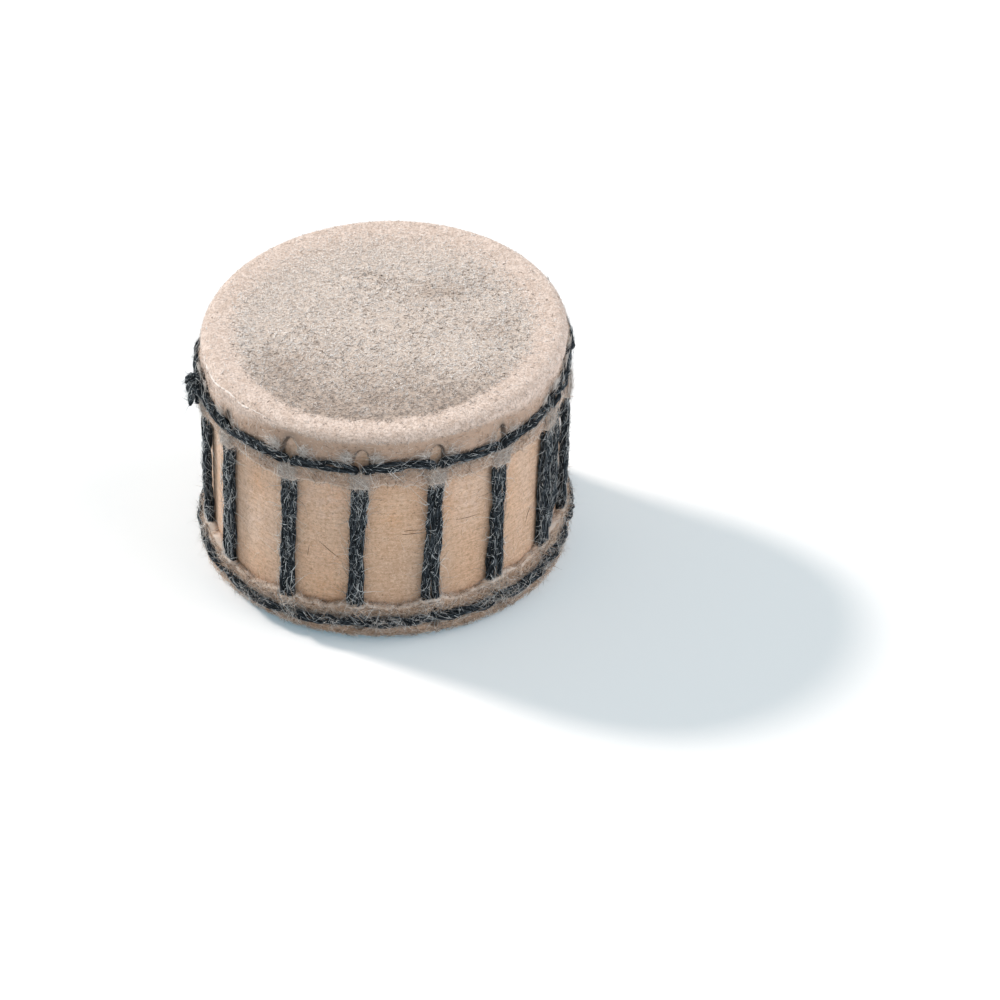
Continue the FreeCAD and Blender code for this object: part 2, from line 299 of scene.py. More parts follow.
def mix(tree, factor, a, b):
    """Mix of two colours, each a socket or (r, g, b)."""
    a, b = [x if isinstance(x, bpy.types.NodeSocket) else (*x, 1) for x in (a, b)]
    return node(tree, "ShaderNodeMix", {0: factor, 6: a, 7: b}, data_type="RGBA").outputs[2]


def layer(tree, value, low, high, share, colour, tint):
    """Colour with a tint laid on as a value goes from low to high."""
    return mix(tree, remap(tree, value, low, high, share), colour, tint)


def stain(tree, name, share, colour, tint):
    """Colour with a share of a tint laid on where one of the mesh's maps says."""
    return mix(tree, maths(tree, "MULTIPLY", attribute(tree, name), share), colour, tint)


def add_bump(tree, shader, height, strength, distance):
    made = node(tree, "ShaderNodeBump", {"Height": height, "Strength": strength,
                                         "Distance": distance * mm})
    tree.links.new(made.outputs[0], shader.inputs["Normal"])


def set_colour(tree, shader, colour):
    tree.links.new(colour, shader.inputs["Base Color"])


def bamboo_material():
    """Scraped bamboo: fine lines round the tube, fibres up it, specks, pale dust and painted light on the
    wood in the upper holes.
    """
    made, tree, shader = material("scraped_bamboo", roughness=0.62, Specular_IOR_Level=0.3)
    colour = ramp(tree, cloud(tree, 10, (1, 1, 0.6), detail=2.5, rough=0.6),
                  (0.30, (0.80, 0.52, 0.35)), (0.50, (0.81, 0.565, 0.40)), (0.70, (0.77, 0.58, 0.45)))
    grit = remap(tree, cloud(tree, 1.6, detail=6, rough=0.8, offset=(2, 2, 8)), 0.38, 0.62)
    # Pale patches of the wood, and a painted band of light under the upper hide
    colour = stain(tree, "pale", grit, colour, (0.90, 0.71, 0.61))
    colour = stain(tree, "orange", grit, colour, (0.80, 0.44, 0.22))
    colour = stain(tree, "deep", grit, colour, (0.55, 0.34, 0.21))
    turned = cloud(tree, 5, (1, 1, 14), (3, 1, 7), detail=7, rough=0.82)
    colour = layer(tree, turned, 0.38, 0.60, 0.48, colour, (0.43, 0.26, 0.16))
    fibres = cloud(tree, 0.6, (1, 1, 0.16), (8, 2, 1), detail=4, rough=0.7)
    colour = layer(tree, fibres, 0.52, 0.75, 0.16, colour, (0.92, 0.72, 0.56))
    dust = cloud(tree, 7, detail=7, rough=0.78, offset=(5, 5, 5))
    colour = layer(tree, dust, 0.46, 0.66, 0.40, colour, (0.80, 0.61, 0.47))
    mottle = cloud(tree, 0.8, detail=5, rough=0.85, offset=(1, 8, 5))
    colour = layer(tree, mottle, 0.46, 0.62, 0.66, colour, (0.44, 0.27, 0.16))
    chalk = cloud(tree, 0.45, (1, 1, 1.5), (4, 2, 9), detail=4, rough=0.8)
    colour = layer(tree, chalk, 0.52, 0.66, 0.5, colour, (0.98, 0.79, 0.63))
    specks = cloud(tree, 0.5, offset=(9, 0, 3), detail=1)
    colour = layer(tree, specks, 0.70, 0.76, 0.55, colour, (0.17, 0.10, 0.06))
    set_colour(tree, shader, colour)
    height = maths(tree, "ADD", turned, maths(tree, "MULTIPLY", fibres, 0.5))
    add_bump(tree, shader, height, 0.5, 0.12)
    return made


def hide_material(name, head, band, skirt, dark, grime_and_shade):
    """Raw hide: mottled skin with a worn band over the tube's end, dirt by the lacing, painted shade on
    the walls of the holes, and painted shade towards the head's front.
    """
    made, tree, shader = material(name, roughness=0.85, Specular_IOR_Level=0.2, Sheen_Weight=0.15)
    grain = cloud(tree, 0.45, detail=3, rough=0.7)
    blotch = cloud(tree, 9, offset=(2, 6, 1), detail=4, rough=0.6)
    fine = cloud(tree, 2.2, offset=(7, 1, 4), detail=4, rough=0.65)
    # The head's map carries its painted shade: darker towards the front, paler towards the back
    tone_and_shade = maths(tree, "ADD", attribute(tree, "tone_and_shade"), maths(tree, "MULTIPLY", blotch, 1.2))
    colour = layer(tree, tone_and_shade, 0.5, 1.5, 0.7, head, dark)
    colour = mix(tree, attribute(tree, "side"), colour, skirt)
    worn = layer(tree, fine, 0.4, 0.7, 0.5, band, skirt)
    colour = mix(tree, attribute(tree, "band"), colour, worn)
    # Dirt by the lacing; on the walls of the holes the same darkening is painted shade
    colour = stain(tree, "grime_and_shade", remap(tree, fine, 0.25, 0.6), colour, grime_and_shade)
    colour = stain(tree, "tongue", 0.75, colour, (0.32, 0.315, 0.31))
    colour = layer(tree, grain, 0.44, 0.58, 0.60, colour, dark)
    colour = stain(tree, "cut", 0.7, colour, (0.90, 0.80, 0.72))
    # Painted shade: a near-black line on the skin turned in at each hole's edge
    colour = stain(tree, "lip", 0.9, colour, (0.07, 0.05, 0.04))
    set_colour(tree, shader, colour)
    add_bump(tree, shader, maths(tree, "ADD", grain, fine), 0.8, 0.22)
    return made


def hair_material(name, *stops, patch_and_shade=None):
    """Hairs of many tints, one to each hair. The tint given last is that of the head's brown patches and
    of its painted shade towards the front; a pale tint marks its pale patches and painted light towards
    the back.
    """
    made, tree, shader = material(name, roughness=0.6, Specular_IOR_Level=0.3)
    island = node(tree, "ShaderNodeNewGeometry").outputs["Random Per Island"]
    colour = ramp(tree, island, *stops)
    if patch_and_shade:
        grain = cloud(tree, 0.8, offset=(4, 9, 2), detail=4, rough=0.75)
        blotch = cloud(tree, 4.0, offset=(2, 6, 1), detail=4, rough=0.7)
        level = maths(tree, "ADD", attribute(tree, "tone_and_shade"), maths(tree, "MULTIPLY", grain, 3.4))
        level = maths(tree, "ADD", level, maths(tree, "MULTIPLY", blotch, 1.8))
        # Brown patches and painted shade towards the front darken the stubble; pale patches and painted
        # light towards the back lighten it
        colour = layer(tree, level, 2.65, 3.6, 0.85, colour, patch_and_shade)
        colour = layer(tree, level, 2.6, 1.9, 0.85, colour, (1.0, 0.93, 0.88))
    set_colour(tree, shader, colour)
    return made


def yarn_material():
    """Blue-black wool: streaks along each ply, lighter where fibres catch the light."""
    made, tree, shader = material("black_wool", roughness=0.9, Specular_IOR_Level=0.15,
                                  Sheen_Weight=0.05, Sheen_Roughness=0.4,
                                  Sheen_Tint=(0.75, 0.85, 1.0, 1))
    around = node(tree, "ShaderNodeCombineXYZ", {"X": attribute(tree, "ply_x"),
                                                 "Y": attribute(tree, "ply_y"),
                                                 "Z": attribute(tree, "ply_run")}).outputs[0]
    fibres = noise(tree, around, 4.0, 0.7)
    colour = ramp(tree, fibres, (0.40, (0.001, 0.002, 0.003)), (0.51, (0.005, 0.009, 0.013)),
                  (0.58, (0.05, 0.067, 0.083)), (0.66, (0.33, 0.37, 0.40)))
    set_colour(tree, shader, colour)
    add_bump(tree, shader, fibres, 0.9, 0.2)
    return made


def seed_material():
    made, tree, shader = material("brown_seed", roughness=0.35)
    colour = ramp(tree, cloud(tree, 2.5, detail=4), (0.35, (0.035, 0.018, 0.010)),
                  (0.55, (0.10, 0.055, 0.030)), (0.75, (0.22, 0.13, 0.07)))
    set_colour(tree, shader, colour)
    add_bump(tree, shader, cloud(tree, 0.5, detail=3), 0.3, 0.1)
    return made


bamboo = bamboo_material()
top_skin = hide_material("upper_hide", head=(0.80, 0.69, 0.61), band=(0.94, 0.78, 0.69),
                         skirt=(0.56, 0.40, 0.305), dark=(0.46, 0.35, 0.28),
                         grime_and_shade=(0.33, 0.27, 0.225))
bottom_skin = hide_material("lower_hide", head=(0.66, 0.51, 0.42), band=(0.66, 0.50, 0.40),
                            skirt=(0.64, 0.46, 0.34), dark=(0.34, 0.23, 0.16),
                            grime_and_shade=(0.24, 0.18, 0.14))
wool = yarn_material()
stubble = hair_material("head_stubble", (0.0, (0.10, 0.07, 0.05)), (0.15, (0.38, 0.30, 0.25)),
                        (0.25, (1.0, 0.94, 0.90)), (1.0, (1.0, 0.98, 0.96)),
                        patch_and_shade=(0.44, 0.36, 0.31))
down = hair_material("pale_down", (0.0, (0.58, 0.45, 0.37)), (0.4, (0.92, 0.80, 0.72)),
                     (1.0, (1.0, 0.98, 0.96)))
brown_down = hair_material("brown_down", (0.0, (0.14, 0.085, 0.055)), (0.35, (0.58, 0.40, 0.28)),
                           (0.7, (0.92, 0.74, 0.59)), (1.0, (1.0, 0.96, 0.92)))
tuft = hair_material("grey_tufts", (0.0, (0.50, 0.45, 0.41)), (0.5, (0.76, 0.72, 0.68)),
                     (1.0, (0.97, 0.95, 0.93)))
white_hair = hair_material("white_hairs", (0.0, (0.07, 0.09, 0.11)), (0.35, (0.34, 0.39, 0.43)),
                           (0.65, (0.93, 0.98, 1.0)))
dark_hair = hair_material("dark_hairs", (0.0, (0.003, 0.005, 0.008)), (0.6, (0.022, 0.030, 0.038)),
                          (1.0, (0.13, 0.155, 0.18)))
scratch = hair_material("dark_scratches", (0.0, (0.10, 0.055, 0.03)), (1.0, (0.22, 0.13, 0.08)))
seed_skin = seed_material()


# Bamboo tube. Areas are (front angle, height, half angle, half height, share).

pale_and_lit_areas = ((-47, 24, 10, 20, 0.9), (-19, 36, 9, 7, 0.9), (-22, 22, 7, 7, 0.35), (27, 33, 9, 8, 0.8),
              # The ring at height 48 is painted light on the wood seen in the upper holes, which lies in
              # the hide's shade
              (0, 48, 900, 4.5, 1.0), (52, 24, 9, 20, 0.5), (-70, 25, 8, 25, 0.8),
              (110, 30, 25, 12, 0.6), (200, 22, 30, 12, 0.6), (250, 32, 20, 9, 0.5))
orange_areas = ((19.3, 31.2, 3.2, 4.0, 0.8), (-44.8, 34.5, 3.0, 3.5, 0.8), (-46, 14, 6, 3.5, 0.7),
                (2, 30, 5, 6, 0.5), (45, 28, 4, 8, 0.4), (-20, 13, 8, 3, 0.6), (130, 16, 14, 5, 0.6),
                (225, 33, 12, 6, 0.6), (170, 34, 10, 6, 0.5))
deep_areas = ((4, 20, 8, 10, 0.7), (14, 14, 14, 4, 0.6), (36, 16, 8, 6, 0.3), (160, 18, 16, 7, 0.6),
              (275, 20, 12, 8, 0.5))


def areas_map(areas, turn, z):
    total = np.zeros(np.broadcast(turn, z).shape)
    for angle, height, half_angle, half_height, share in areas:
        away = (turn + 90 - angle + 180) % 360 - 180
        total = np.maximum(total, share * np.exp(-(away / half_angle) ** 2
                                                 - ((z - height) / half_height) ** 2))
    return total


def make_tube():
    cols = 480
    turn = np.arange(cols) * 360 / cols
    low, high = tube_end, drum_height - tube_end
    outline = [(bore_radius, low)]
    outline += [(r, low) for r in np.linspace(bore_radius + 1, tube_radius - 2.2, 5)]
    outline += [(tube_radius - 2.0, low), (tube_radius - 0.5, low + 0.7), (tube_radius, low + 2.0)]
    outline += [(tube_radius, z) for z in np.linspace(low + 3, high - 2, 54)]
    outline += [(tube_radius, high - 1.2), (tube_radius - 0.3, high - 0.4),
                (tube_radius - 1.2, high), (bore_radius, high)]
    outline += [(bore_radius, z) for z in np.linspace(high - 2, low + 2, 20)]
    rows = []
    for r, z in outline:
        swell = 0.05 * ripple(turn, z, 5, 5, 60) + 0.012 * ripple(turn, z, 6, 24, 5)
        rows.append(polar(r + swell * (r == tube_radius), turn, np.full(cols, z)))
    points = np.concatenate(rows)
    faces = quads(len(outline) + 1, cols) % len(points)
    z = np.array([z for _, z in outline])[:, None]
    maps = {"pale": areas_map(pale_and_lit_areas, turn, z), "orange": areas_map(orange_areas, turn, z),
            "deep": areas_map(deep_areas, turn, z)}
    return piece("bamboo_tube", points, faces, bamboo, attributes=maps)


tube = make_tube()
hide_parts("bamboo_shell")


# Hides. A hide is a grid of rings: out over the head, round the rim and down the skirt. Depth is
# measured from the head's face towards the middle of the drum.

# Half width and height of the upper holes that show, by station
seen_holes = {1: (1.1, 3.2), 2: (1.95, 5.3), 3: (1.75, 4.6), 4: (1.55, 4.1), 5: (1.1, 3.9),
              6: (0.95, 3.2)}


def hole_form(station, inward):
    """Half width and height of a station's hole: no two are alike."""
    if inward < 0 and station in seen_holes:
        return seen_holes[station]
    rng = np.random.default_rng(40 + station)
    return rng.uniform(0.9, 1.5), rng.uniform(2.6, 3.9) + 0.2 * inward


def hide_grid(face_z, inward, radii, rim_round, ring_depth, mouth, skirt, tab, seed):
    """Points of a hide, its maps of dirt with painted shade in the holes and of band, and which of its
    faces are kept.
    """
    rim, pinch, margin = radii
    cols = 800
    turn = np.arange(cols) * 360 / cols
    rng = np.random.default_rng(seed)
    wall = tube_radius + 0.08
    roof_radius = strand_radius + 1.25

    def level(depth):
        return face_z + inward * depth

    def near(station, z):
        """Distance across from a station's middle."""
        away = (turn - station_turn(station, z) + 180) % 360 - 180
        return margin * np.radians(away)

    # The free edge: an uneven line with a tongue at each station.
    edge = skirt + 0.45 * ripple(turn, 0, seed + 1, 24, 10) + 0.16 * ripple(turn, 0, seed + 2, 90, 10)
    for station in range(station_count):
        across = np.abs(near(station, level(tab)))
        reach = tab + rng.uniform(-0.4, 0.35)
        edge = edge + (reach - edge) * smooth(-across, -2.35, -1.85)

    rows, depths = [], []
    flat = rim - rim_round
    for r in np.concatenate([[0.5, 2, 5, 8, 11, 14, 17, 20, 22.5, 25, 27, 28.5],
                             np.linspace(29.5, flat, 16)]):
        rows.append(np.full(cols, r))
        sag = 0.5 * smooth(-r, -32.5, -26.5) if inward < 0 else 0.0
        swell = 0.07 * ripple(turn, r, seed + 3, 3, 22) * smooth(r, 0, 10) * (inward < 0)
        depths.append(np.full(cols, sag) + swell)
    for a in np.linspace(0, 90, 13)[1:]:
        a = math.radians(a)
        rows.append(np.full(cols, flat + rim_round * math.sin(a)))
        depths.append(np.full(cols, rim_round * (1 - math.cos(a))))
    skirt_rows = 52
    for share in np.linspace(0, 1, skirt_rows)[1:]:
        depth = rim_round + (edge - rim_round) * share
        rows.append(np.interp(depth, [rim_round, ring_depth, skirt], [rim, pinch, margin]))
        depths.append(depth)
    radius, depth = np.array(rows), np.array(depths)
    first_skirt = len(rows) - skirt_rows + 1

    z = level(depth)
    on_side = (np.arange(len(rows)) >= first_skirt - 13)[:, None]
    side = smooth(depth, 0.6 * rim_round, rim_round + 0.5) * on_side
    fade = smooth(depth, rim_round * 0.5, rim_round + 2)
    wave = (0.12 * ripple(turn[None], depth, seed + 4, 12, 9)
            + 0.05 * ripple(turn[None], depth, seed + 5, 60, 2.2))
    radius = radius + fade * wave
    groove = np.exp(-((depth - ring_depth) / 1.0) ** 2)
    radius = radius + side * (0.2 - 0.5 * groove) * smooth(depth, rim_round, ring_depth - 2)
    grime_and_shade = side * 0.55 * np.exp(-((depth - ring_depth - 1.2) / 2.2) ** 2)
    hole_gap = np.full(radius.shape, 9.0)
    hole_edge_shade, tongue = np.zeros(radius.shape), np.zeros(radius.shape)
    for station in range(station_count):
        away = (turn[None] - station_turn(station, z) + 180) % 360 - 180
        across = margin * np.radians(away)
        up = ring_depth + 0.8 - depth
        wide, tall = hole_form(station, inward)
        round_it = (np.abs(across) / wide) ** 2.2 + (np.maximum(up, 0) / (tall + 0.8)) ** 2.2
        gap = (round_it ** (1 / 2.2) - 1) * wide
        gap = np.where(depth > mouth, np.maximum(gap, depth - mouth), gap)
        # Skin drawn in round each hole, with a thin lip at its edge
        drawn = np.exp(-(np.maximum(gap, 0) / 1.3) ** 2) * (up > 0)
        radius = radius - side * drawn * (0.50 - 0.42 * np.exp(-((gap - 0.35) / 0.25) ** 2))
        # Tongue over the strands
        roof = smooth(-np.abs(across), -2.45, -1.65) * smooth(depth, mouth - 0.05, mouth + 0.35)
        crease = 0.10 * np.cos(across * 4.1 + station) * smooth(depth, mouth, mouth + 1)
        radius = radius + roof * np.maximum(roof_radius + crease - radius, 0) * side
        # Darker round each hole: dirt on the skin beside it, painted shade on its wall
        grime_and_shade = np.maximum(grime_and_shade, side * np.exp(-(np.maximum(gap, 0) / 0.6) ** 2))
        grime_and_shade = np.maximum(grime_and_shade, 0.5 * roof * side)
        tongue = np.maximum(tongue, roof * side)
        # Painted shade along the inside edge of each hole
        hole_edge_shade = np.maximum(hole_edge_shade, side * np.exp(-((gap - 0.08) / 0.22) ** 2) * (depth < mouth))
        lip = smooth(gap, -0.10, 0.22)
        inside = (side > 0.5) & (gap < 0.22) & (depth < mouth)
        radius = np.where(inside, wall + (radius - wall) * lip, radius)
        hole_gap = np.minimum(hole_gap, np.where(depth < mouth + 0.2, gap, 9.0))
    cut = side * np.exp(-((edge - depth) / 0.25) ** 2)
    # The edge turns in to the tube, or to the strands under a tongue
    on_tongue = np.zeros(cols)
    for station in range(station_count):
        on_tongue = np.maximum(on_tongue, smooth(-np.abs(near(station, z[-1])), -2.2, -1.6))
    inner = wall + 1.1 * on_tongue
    last_depth = depth[-1]
    radius = np.concatenate([radius, [(radius[-1] + inner) / 2, inner, inner]])
    depth = np.concatenate([depth, [last_depth + 0.12, last_depth, last_depth - 1.4]])
    grime_and_shade, hole_gap, side, hole_edge_shade, tongue, cut = (
        np.concatenate([values, [values[-1]] * 3])
        for values in (grime_and_shade, hole_gap, side, hole_edge_shade, tongue, cut))
    band = np.zeros(radius.shape)
    if inward < 0:
        across, back = np.cos(np.radians(turn[None])), np.sin(np.radians(turn[None]))
        line = (31.5 - 1.7 * back - 0.5 * across + 0.25 * ripple(turn[None], 0, 77, 7, 10)
                + 0.15 * ripple(turn[None], 0, 78, 60, 10))
        soft = 0.7 + 2.0 * smooth(back, -0.95, 0.3) + 2.5 * smooth(back, 0.2, 0.8)
        band = smooth(np.minimum(radius, rim), line - soft, line + soft)
        sideways = 1 - smooth(-back, 0.45, 0.9)
        band = band * (1 - smooth(depth, 0.9 + 2 * sideways, 3.2 + 6 * sideways))
    points = polar(radius, turn[None], level(depth))
    corner = np.stack([hole_gap[:-1], hole_gap[1:], np.roll(hole_gap[:-1], -1, 1),
                       np.roll(hole_gap[1:], -1, 1)])
    jump = np.abs(np.diff(radius, axis=0)) > 1.1
    keep = ~((corner < -0.1).all(0))
    keep[:-3] &= ~(jump[:-3] & (depth[:-4] > ring_depth))
    maps = {"side": side, "band": band, "grime_and_shade": np.clip(grime_and_shade, 0, 1), "lip": hole_edge_shade,
            "tongue": tongue, "cut": cut, "tone_and_shade": head_tone_and_shade(points[..., 0], points[..., 1]) * (1 - side)}
    return {"points": points, "maps": maps, "keep": keep, "depth": depth, "hole": hole_gap,
            "inward": inward}


def make_hide(name, node_name, skin, grid):
    points = grid["points"]
    rows, cols, _ = points.shape
    flip = grid["inward"] < 0
    faces = quads(rows, cols, flip)[grid["keep"].ravel()]
    # Corner triangles close the middle of the head.
    centre = rows * cols
    ring = np.arange(cols)
    following = (ring + 1) % cols
    pair = (ring, following) if flip else (following, ring)
    fan = np.stack([np.full(cols, centre), pair[0], pair[1]], 1)
    faces = np.concatenate([faces[:, [0, 1, 2]], faces[:, [0, 2, 3]], fan])
    used, faces = np.unique(faces, return_inverse=True)
    flat = np.vstack([points.reshape(-1, 3), points[0].mean(0)])[used]
    attributes = {key: np.append(values.ravel(), values.ravel()[0])[used]
                  for key, values in grid["maps"].items()}
    made = piece(name, flat, faces.reshape(-1, 3), skin, attributes=attributes)
    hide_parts(node_name)
    return made


top_rim_radius = 39.0
top_rim_round = 2.5
top_grid = hide_grid(drum_height, -1, radii=(top_rim_radius, 38.75, 39.05), rim_round=top_rim_round,
                     ring_depth=10.1, mouth=11.5, skirt=14.9, tab=15.3, seed=11)
bottom_grid = hide_grid(0.0, 1, radii=(39.7, 38.95, 39.2), rim_round=4.0,
                        ring_depth=6.5, mouth=8.6, skirt=10.2, tab=10.6, seed=23)
top_hide = make_hide("goat_hide_top", "top_hide", top_skin, top_grid)
bottom_hide = make_hide("goat_hide_bottom", "bottom_hide", bottom_skin, bottom_grid)


def make_fold():
    """A scraped fold of pale skin along the rim at the left."""
    rng = np.random.default_rng(93)
    turn = np.linspace(188, 236, 150)
    depth = np.interp(turn, (188, 197, 205, 213, 220, 226, 236), (1.5, 1.7, 2.1, 1.1, 1.5, 1.2, 1.2))
    depth = relax(depth, 12) + 0.05 * wander_of(150, 3, rng)
    tilt = np.arccos(1 - depth / top_rim_round)
    out = top_rim_radius + 0.02 - top_rim_round * (1 - np.sin(tilt))
    middle = polar(out, turn, drum_height - depth)
    radius = 0.19 * (1 + 0.50 * wander_of(150, 3, rng)) * smooth(-np.abs(turn - 212), -24, -13)
    return tubes("rim_fold", middle[None], np.clip(radius, 0.012, 0.30)[None], down, 5)


# Hair on the hides

def scatter(grid, weight, count, rng):
    """Random points on a hide, where weight says, their normals, and random ways along it."""
    points = grid["points"]
    a, b = points[:-1], np.roll(points, -1, 1)[:-1]
    c, d = points[1:], np.roll(points, -1, 1)[1:]
    normal = np.cross(c - a, b - a) * -grid["inward"]
    share = np.linalg.norm(normal, axis=-1) * weight[:-1] * grid["keep"]
    pick = rng.choice(share.size, count, p=share.ravel() / share.sum())
    u, v = rng.random((2, count, 1))
    corner = [x.reshape(-1, 3)[pick] for x in (a, b, c, d)]
    base = (corner[0] * (1 - u) + corner[1] * u) * (1 - v) + (corner[2] * (1 - u) + corner[3] * u) * v
    out = unit(normal.reshape(-1, 3)[pick])
    round_it = unit(corner[1] - corner[0])
    return base, out, between(round_it, np.cross(out, round_it), rng.uniform(0, math.tau, count))


def hair_lines(base, out, way, length, curl, rng, steps=3, rise=0.5):
    """Curved hairs that leave the skin and bend over along way."""
    t = np.linspace(0, 1, steps)[None, :, None]
    side = np.cross(out, way)
    swerve = rng.normal(0, curl, (len(base), 1, 1))
    line = base[:, None] + length[:, None, None] * (
        out[:, None] * rise * (t - 0.45 * t ** 2) + way[:, None] * t * (0.55 + 0.45 * t)
        + side[:, None] * swerve * t ** 2)
    return line


def hairs(name, lines, thick, rng, material):
    """Hairs along lines that thin out to their tips, each of a random thickness at its root."""
    count, steps, _ = lines.shape
    root = rng.uniform(*thick, (count, 1)) / 2
    return tubes(name, lines, root * (1 - 0.8 * np.linspace(0, 1, steps) ** 1.5), material)


def short_hair(name, grid, weight, count, seed, length, thick, rise, spread, material, comb):
    """Straight hairs at low angles over a hide, combed a little one way."""
    rng = np.random.default_rng(seed)
    base, out, way = scatter(grid, weight, count, rng)
    way = unit(way * spread + np.array(comb))
    way = unit(way - out * (way * out).sum(1, keepdims=True))
    run = unit(way + out * rng.uniform(*rise, (count, 1)))
    tip = base + run * rng.uniform(*length, (count, 1))
    return spikes(name, base - 0.05 * out, tip, rng.uniform(*thick, count) / 2, material)


def fuzz(name, grid, weight, count, seed, length, thick, rise, curl, material):
    """Bent hairs standing off a hide every way."""
    rng = np.random.default_rng(seed)
    base, out, way = scatter(grid, weight, count, rng)
    line = hair_lines(base - 0.04 * out, out, way, rng.uniform(*length, count), curl, rng, 3, rise)
    line[..., 2] = np.maximum(line[..., 2], 0.1)
    return hairs(name, line, thick, rng, material)


def top_hair():
    grid = top_grid
    band, side, depth = grid["maps"]["band"], grid["maps"]["side"], grid["depth"]
    head = (1 - side) * (1 - 0.93 * band)
    made = [short_hair("stubble_1", grid, head, 12000, 501, (0.6, 1.35), (0.18, 0.27),
                       (0.1, 0.6), 1.0, stubble, (0.5, -0.25, 0)),
            short_hair("stubble_2", grid, head, 10000, 502, (0.5, 1.1), (0.10, 0.15),
                       (0.1, 0.8), 1.6, stubble, (0.2, 0.3, 0))]
    rim = np.clip(band + 0.15 * side * (depth < 7), 0, 1)
    made.append(short_hair("rim_down", grid, rim, 17000, 503, (0.35, 0.9), (0.07, 0.11),
                           (0.05, 0.45), 1.4, down, (0.1, 0.2, -0.4)))
    low = side * (depth > 3.5) * (0.35 + 0.65 * smooth(depth, 10.5, 12)) * (depth < 15.4)
    low = low * (1 + 1.5 * grid["maps"]["grime_and_shade"]) * (grid["hole"] > 0.6)
    tongue = grid["maps"]["tongue"]
    made.append(fuzz("skirt_fuzz", grid, low * (1 - 0.8 * tongue), 6000, 504, (0.5, 1.5), (0.09, 0.14),
                     0.6, 0.8, brown_down))
    made.append(fuzz("skirt_down", grid, low * (1 + 4 * tongue), 4500, 505, (0.6, 1.9), (0.06, 0.09),
                     0.7, 0.9, tuft))
    return made


def tufts():
    """White tufts that the ring cord pulls up beside each upper hole."""
    rng = np.random.default_rng(520)
    lines = []
    for station in range(station_count):
        for side in (-1, 1):
            wide, tall = hole_form(station, -1)
            count = int(rng.integers(34, 80) * (1.8 if station in (2, 3) else 1))
            across = side * (wide + rng.gamma(2.0, 0.5, count))
            z = top_ring_z + rng.normal(1.3 + 0.25 * tall, 0.95, count)
            radius = 39.05 + rng.uniform(0, 0.2, count)
            turn = station_turn(station, z) + np.degrees(across / radius)
            base = polar(radius, turn, z)
            out = unit(base * (1, 1, 0))
            tangent = np.stack([-out[:, 1], out[:, 0], 0 * out[:, 0]], 1)
            upward = np.array((0, 0, 1.0))
            way = unit(between(upward, tangent, rng.normal(side * 0.75, 0.55, count)))
            size = rng.uniform(0.9, 2.7, count)
            lines.append(hair_lines(base, out, way, size, 0.5, rng, 4, 0.55))
    thick = np.array((0.07, 0.11)) / 0.9
    return hairs("hole_tufts", np.concatenate(lines), thick, rng, tuft)


def bottom_hair():
    grid = bottom_grid
    side, depth = grid["maps"]["side"], grid["depth"]
    low = np.maximum(side, smooth(depth, 0.4, 1.5)) * (depth < 10.6)
    made = [fuzz("base_fuzz_1", grid, low, 9500, 530, (0.6, 1.7), (0.10, 0.16), 0.6, 0.9, brown_down),
            fuzz("base_fuzz_2", grid, low, 7000, 531, (0.7, 2.1), (0.08, 0.12), 0.65, 1.0, brown_down)]
    edge = side * smooth(depth, 4.2, 6.2)
    made.append(fuzz("base_grey", grid, edge, 3200, 532, (0.8, 2.3), (0.05, 0.08), 0.8, 1.0, tuft))
    return made


top_pieces = top_hair() + [tufts()]
bottom_pieces = bottom_hair()


# Yarn

def strand_point(station, across, out, z):
    radius = strand_radius + out
    return polar(radius, station_turn(station, z) + np.degrees(across / radius), z)


over_route = ((-0.50, 0.00, 1.25), (-0.48, 0.10, 0.85), (-0.35, 0.32, 0.45),
              (0.00, 0.55, 0.20), (0.60, 0.70, 0.08), (1.30, 0.75, 0.02))
under_route = ((0.50, 0.00, 0.70), (0.44, -0.05, 0.15), (0.12, -0.10, -0.25),
               (-0.42, -0.05, -0.38), (-1.00, 0.22, -0.25), (-1.65, 0.55, -0.08))


def sway(station, side, z):
    """How far a strand strays across on its way down: no pair is quite even."""
    rng = np.random.default_rng(300 + station)
    bend, phase = rng.uniform(-0.28, 0.28), rng.uniform(0, 6)
    slim, slim_z = rng.uniform(0.05, 0.32), rng.uniform(14, 36)
    flare = 0.40 if station in (4, 5) else rng.uniform(-0.10, 0.12)
    middle = bend * math.sin(math.pi * (z - 9) / 34) + 0.10 * math.sin(z / 3.1 + phase)
    pinch = slim * math.exp(-((z - slim_z) / 6) ** 2) - flare * math.exp(-((z - 11) / 4.5) ** 2)
    return middle - side * pinch * strand_pitch / 2


# How far the outermost strands stand off the tube, as (height, half height, reach)
stand_off = {0: (23, 8, 0.35), 7: (30, 14, 0.3)}


def upright(station, side):
    """Points of a strand from the top ring into its hole and down to the lower tongue."""
    out = top_ring_radius - strand_radius
    half = side * strand_pitch / 2
    middle, spread, reach = stand_off.get(station, (0, 1, 0))
    points = [strand_point(station, side * notch_reach, out, top_ring_z),
              strand_point(station, side * 2.0, 0.75 * out, top_ring_z - 0.25),
              strand_point(station, side * 1.15, 0.3 * out, top_ring_z - 0.8),
              strand_point(station, half, 0.0, top_ring_z - 1.8)]
    for z in np.linspace(41.5, 11.0, 12):
        bow = reach * math.exp(-((z - middle) / spread) ** 2)
        points.append(strand_point(station, half + sway(station, side, z), bow, z))
    return points


def crossing(station, route):
    return [strand_point(station, a * strand_pitch, o * strand_pitch, bottom_ring_z + u * strand_pitch)
            for a, o, u in route]


